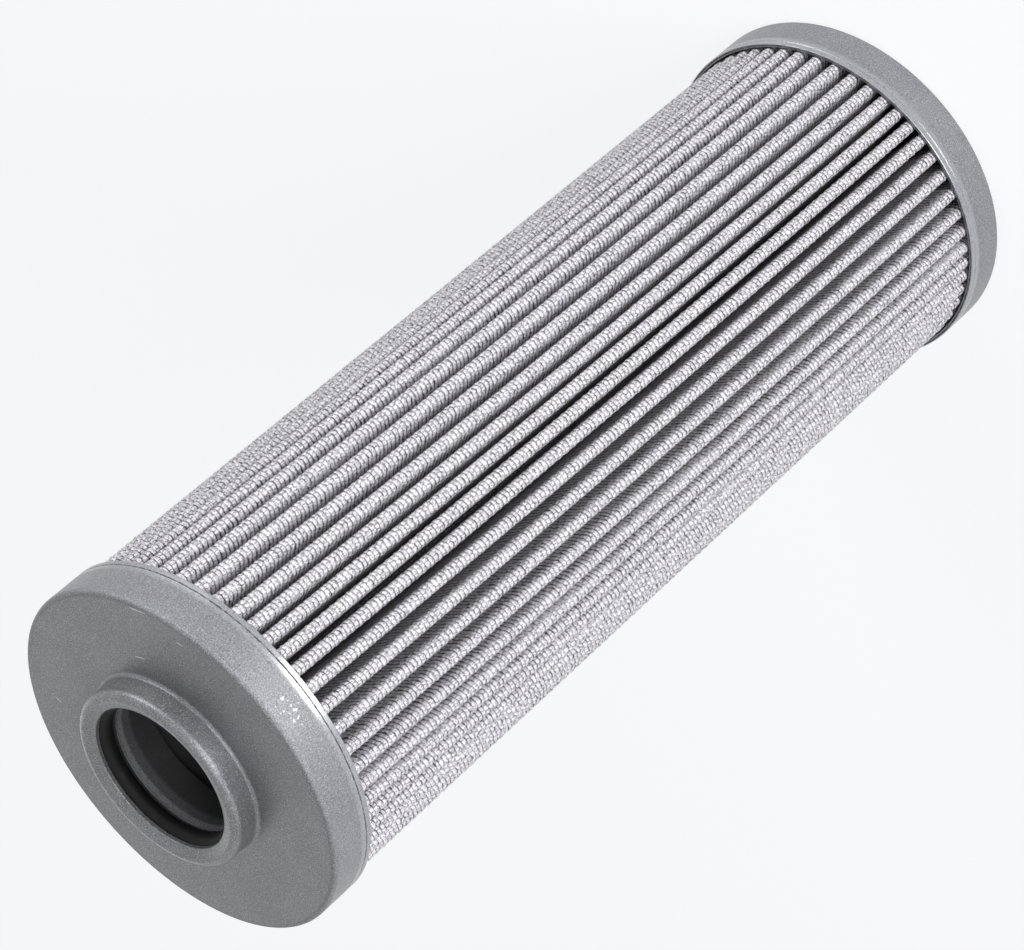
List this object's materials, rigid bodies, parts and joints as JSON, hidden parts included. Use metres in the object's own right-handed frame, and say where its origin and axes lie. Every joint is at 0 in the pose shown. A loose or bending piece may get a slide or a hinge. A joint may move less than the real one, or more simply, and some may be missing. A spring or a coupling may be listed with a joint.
{
  "type": "hydraulic filter element",
  "caption": "Pleated cylindrical hydraulic filter element with metal end caps, wire mesh pleats and a raised neck with an O-ring seal.",
  "frame": {"origin": "centre of the closed end cap's outer face, on the element's axis", "axes": "+Z along the element's axis towards the open neck; -Y is the side that the picture shows"},
  "size_m": [0.07, 0.07, 0.2013],
  "materials": {
    "cap_steel": "matt zinc-plated sheet steel with fine grain",
    "sleeve_steel": "dull turned steel",
    "tube_steel": "perforated sheet steel",
    "seal_rubber": "matt black",
    "wire_mesh": "bright woven wire",
    "inner_wire": "woven wire",
    "fleece": "thin nonwoven",
    "medium": "glass fibre",
    "adhesive": "dark cast adhesive",
    "seam_adhesive": "cured adhesive"
  },
  "bodies": {
    "root": {"closed_end_cap": "cap_steel", "closed_end_adhesive": "adhesive", "open_end_cap": "cap_steel", "open_end_adhesive": "adhesive", "o_ring": "seal_rubber", "seal_retainer": "sleeve_steel", "support_tube": "tube_steel", "outer_mesh": "wire_mesh", "outer_fleece": "fleece", "filter_medium": "medium", "inner_fleece": "fleece", "inner_mesh": "inner_wire", "seam_bond": "seam_adhesive"}
  },
  "joints": []
}
